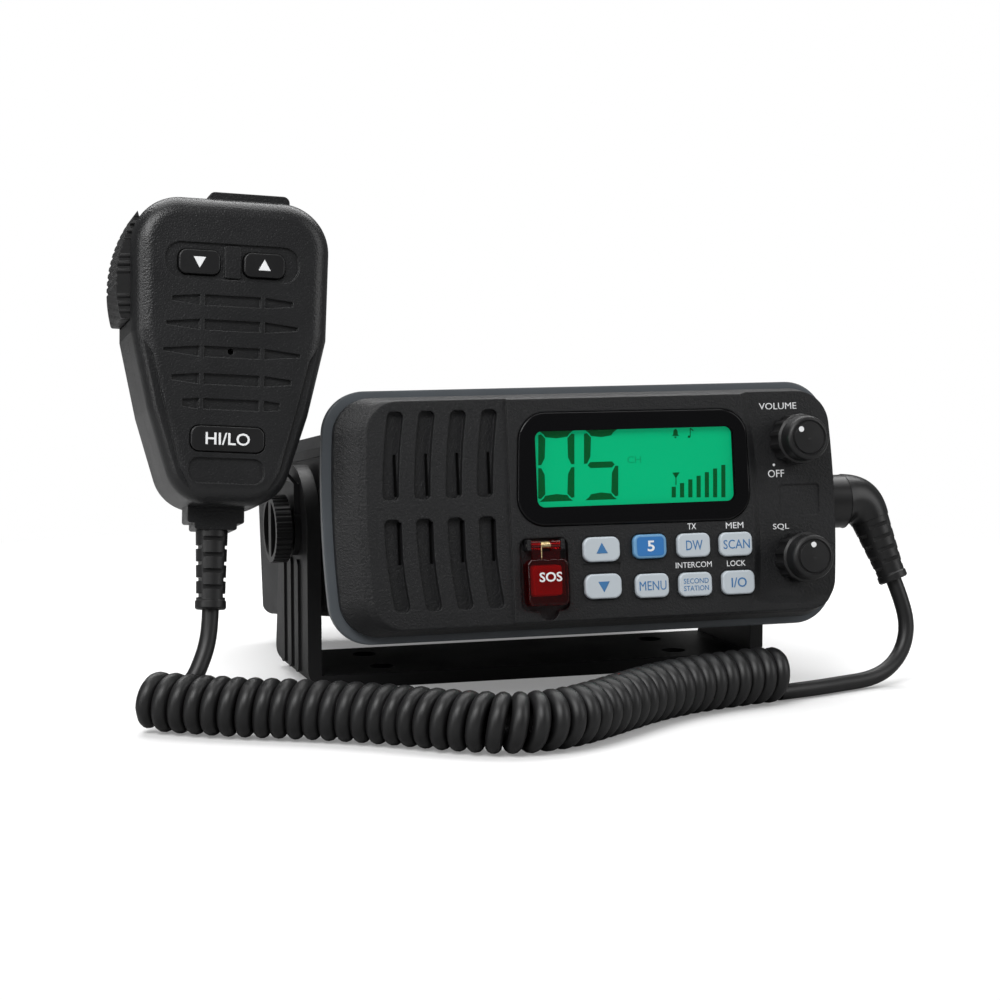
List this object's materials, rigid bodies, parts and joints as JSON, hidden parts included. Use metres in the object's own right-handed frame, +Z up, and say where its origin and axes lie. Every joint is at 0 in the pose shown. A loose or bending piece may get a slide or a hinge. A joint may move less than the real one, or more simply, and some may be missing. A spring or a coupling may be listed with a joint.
{
  "type": "vhf marine radio",
  "caption": "Fixed-mount marine transceiver on a U bracket: tilting body with speaker, display and keys, hand microphone on a hanger and a curly cord.",
  "frame": {"origin": "middle of the bracket's flat base, on the surface it stands on", "axes": "+X to the right seen from the front, +Y to the back, +Z up"},
  "size_m": [0.2624, 0.2458, 0.1617],
  "materials": {
    "bracket_paint": "fine black powder coat",
    "cast_paint": "textured black paint on a die casting",
    "washer_rubber": "matt",
    "stainless": "brushed",
    "cord_rubber": "soft sheen",
    "knob_plastic": "moulded, matt",
    "gasket_rubber": "matt grey-blue",
    "panel_plastic": "fine moulded grain",
    "speaker_cloth": "woven",
    "tinplate": "tinned",
    "ferrite": "ceramic grey",
    "window": "clear with a black printed border",
    "mask_plastic": "black",
    "lcd_green": "lit green display",
    "board": "solder mask",
    "mat_rubber": "silicone",
    "nickel": "nickel plate",
    "plug_plastic": "moulded, satin",
    "control_rubber": "soft touch",
    "key_pale": "back-lit, satin",
    "key_blue": "back-lit, satin",
    "key_red": "glossy",
    "cover_red": "clear red",
    "brass_wire": "polished wire",
    "mic_plastic": "fine moulded grain",
    "ptt_rubber": "knurled",
    "mic_key": "glossy coated"
  },
  "bodies": {
    "bracket": {"mounting_bracket": "bracket_paint", "arm_washers": "washer_rubber", "mic_hanger": "bracket_paint", "cord_coil": "cord_rubber", "cord_plug_lead": "cord_rubber", "cord_mic_lead": "cord_rubber"},
    "left_clamp": {"left_clamp_knob": "knob_plastic", "left_clamp_screw": "stainless"},
    "right_clamp": {"right_clamp_knob": "knob_plastic", "right_clamp_screw": "stainless"},
    "radio": {"chassis": "cast_paint", "panel_gasket": "gasket_rubber", "front_panel": "panel_plastic", "panel_screws": "stainless", "grille_cloth": "speaker_cloth", "speaker_basket": "tinplate", "speaker_magnet": "ferrite", "display_window": "window", "lcd_frame": "mask_plastic", "lcd_panel": "lcd_green", "control_board": "board", "main_board": "board", "rf_shield": "tinplate", "volume_pot": "tinplate", "squelch_pot": "tinplate", "keypad_mat": "mat_rubber", "sos_pin": "stainless", "antenna_socket": "nickel", "antenna_contact": "mask_plastic", "power_inlet": "mask_plastic", "mic_socket": "nickel", "plug_body": "plug_plastic", "plug_boot": "cord_rubber"},
    "volume": {"volume_knob": "control_rubber", "volume_shaft": "tinplate"},
    "squelch": {"squelch_knob": "control_rubber", "squelch_shaft": "tinplate"},
    "key_up": {"key_up": "key_pale"},
    "key_down": {"key_down": "key_pale"},
    "key_channel": {"key_channel": "key_blue"},
    "key_dual_watch": {"key_dual_watch": "key_pale"},
    "key_scan": {"key_scan": "key_pale"},
    "key_menu": {"key_menu": "key_pale"},
    "key_station": {"key_station": "key_pale"},
    "key_power": {"key_power": "key_pale"},
    "sos_key": {"sos_key": "key_red"},
    "sos_cover": {"sos_cover": "cover_red", "sos_spring": "brass_wire"},
    "plug_ring": {"plug_ring": "plug_plastic"},
    "microphone": {"mic_front_shell": "mic_plastic", "mic_rear_shell": "mic_plastic", "mic_board": "board", "mic_capsule": "tinplate", "mic_screws": "stainless", "mic_hang_stud": "stainless", "mic_boot": "cord_rubber"},
    "mic_ptt": {"mic_ptt": "ptt_rubber"},
    "mic_key_down": {"mic_key_down": "mic_key"},
    "mic_key_up": {"mic_key_up": "mic_key"},
    "mic_key_power": {"mic_key_power": "mic_key"}
  },
  "joints": [
    {"name": "radio_tilt", "type": "hinge", "parent": "bracket", "child": "radio", "pos_m": [0, -0.0072, 0.0515], "axis": [-1, 0, 0], "range_deg": [-13, 11.8], "deforming": ["cord_plug_lead"]},
    {"name": "left_clamp_turn", "type": "hinge", "parent": "bracket", "child": "left_clamp", "pos_m": [-0.085, -0.0072, 0.0515], "axis": [-1, 0, 0], "range_deg": [0, 540]},
    {"name": "right_clamp_turn", "type": "hinge", "parent": "bracket", "child": "right_clamp", "pos_m": [0.085, -0.0072, 0.0515], "axis": [1, 0, 0], "range_deg": [0, 540]},
    {"name": "volume_turn", "type": "hinge", "parent": "radio", "child": "volume", "pos_m": [0.0693, -0.07701, 0.08308], "axis": [0, 0.9898, -0.1426], "range_deg": [-93, 177]},
    {"name": "squelch_turn", "type": "hinge", "parent": "radio", "child": "squelch", "pos_m": [0.0693, -0.0824, 0.04567], "axis": [0, 0.9898, -0.1426], "range_deg": [-130, 140]},
    {"name": "plug_ring_turn", "type": "hinge", "parent": "radio", "child": "plug_ring", "pos_m": [0.08, -0.0556, 0.05989], "axis": [1, 0, 0], "range_deg": [0, 330]},
    {"name": "sos_cover_flip", "type": "hinge", "parent": "radio", "child": "sos_cover", "pos_m": [-0.0165, -0.07898, 0.05255], "axis": [-1, 0, 0], "range_deg": [0, 105], "stiffness_Nm_per_rad": 0.002, "springref_deg": -40.11},
    {"name": "sos_key_press", "type": "slide", "parent": "radio", "child": "sos_key", "axis": [0, 0.9898, -0.1426], "range_m": [0, 0.001], "stiffness_N_per_m": 600, "springref_m": -0.0003},
    {"name": "key_up_press", "type": "slide", "parent": "radio", "child": "key_up", "axis": [0, 0.9898, -0.1426], "range_m": [0, 0.001], "stiffness_N_per_m": 600, "springref_m": -0.0003},
    {"name": "key_down_press", "type": "slide", "parent": "radio", "child": "key_down", "axis": [0, 0.9898, -0.1426], "range_m": [0, 0.001], "stiffness_N_per_m": 600, "springref_m": -0.0003},
    {"name": "key_channel_press", "type": "slide", "parent": "radio", "child": "key_channel", "axis": [0, 0.9898, -0.1426], "range_m": [0, 0.001], "stiffness_N_per_m": 600, "springref_m": -0.0003},
    {"name": "key_dual_watch_press", "type": "slide", "parent": "radio", "child": "key_dual_watch", "axis": [0, 0.9898, -0.1426], "range_m": [0, 0.001], "stiffness_N_per_m": 600, "springref_m": -0.0003},
    {"name": "key_scan_press", "type": "slide", "parent": "radio", "child": "key_scan", "axis": [0, 0.9898, -0.1426], "range_m": [0, 0.001], "stiffness_N_per_m": 600, "springref_m": -0.0003},
    {"name": "key_menu_press", "type": "slide", "parent": "radio", "child": "key_menu", "axis": [0, 0.9898, -0.1426], "range_m": [0, 0.001], "stiffness_N_per_m": 600, "springref_m": -0.0003},
    {"name": "key_station_press", "type": "slide", "parent": "radio", "child": "key_station", "axis": [0, 0.9898, -0.1426], "range_m": [0, 0.001], "stiffness_N_per_m": 600, "springref_m": -0.0003},
    {"name": "key_power_press", "type": "slide", "parent": "radio", "child": "key_power", "axis": [0, 0.9898, -0.1426], "range_m": [0, 0.001], "stiffness_N_per_m": 600, "springref_m": -0.0003},
    {"name": "mic_lift", "type": "slide", "parent": "bracket", "child": "microphone", "axis": [0.0698, 0.2074, 0.9758], "range_m": [0, 0.018], "deforming": ["cord_mic_lead"]},
    {"name": "mic_ptt_press", "type": "hinge", "parent": "microphone", "child": "mic_ptt", "pos_m": [-0.14046, -0.05214, 0.12297], "axis": [0, 0.9781, -0.2079], "range_deg": [0, 3.5], "stiffness_Nm_per_rad": 0.6, "springref_deg": -1.72},
    {"name": "mic_key_down_press", "type": "slide", "parent": "microphone", "child": "mic_key_down", "axis": [0, 0.9781, -0.2079], "range_m": [0, 0.0008], "stiffness_N_per_m": 600, "springref_m": -0.0003},
    {"name": "mic_key_up_press", "type": "slide", "parent": "microphone", "child": "mic_key_up", "axis": [0, 0.9781, -0.2079], "range_m": [0, 0.0008], "stiffness_N_per_m": 600, "springref_m": -0.0003},
    {"name": "mic_key_power_press", "type": "slide", "parent": "microphone", "child": "mic_key_power", "axis": [0, 0.9781, -0.2079], "range_m": [0, 0.0008], "stiffness_N_per_m": 600, "springref_m": -0.0003}
  ]
}
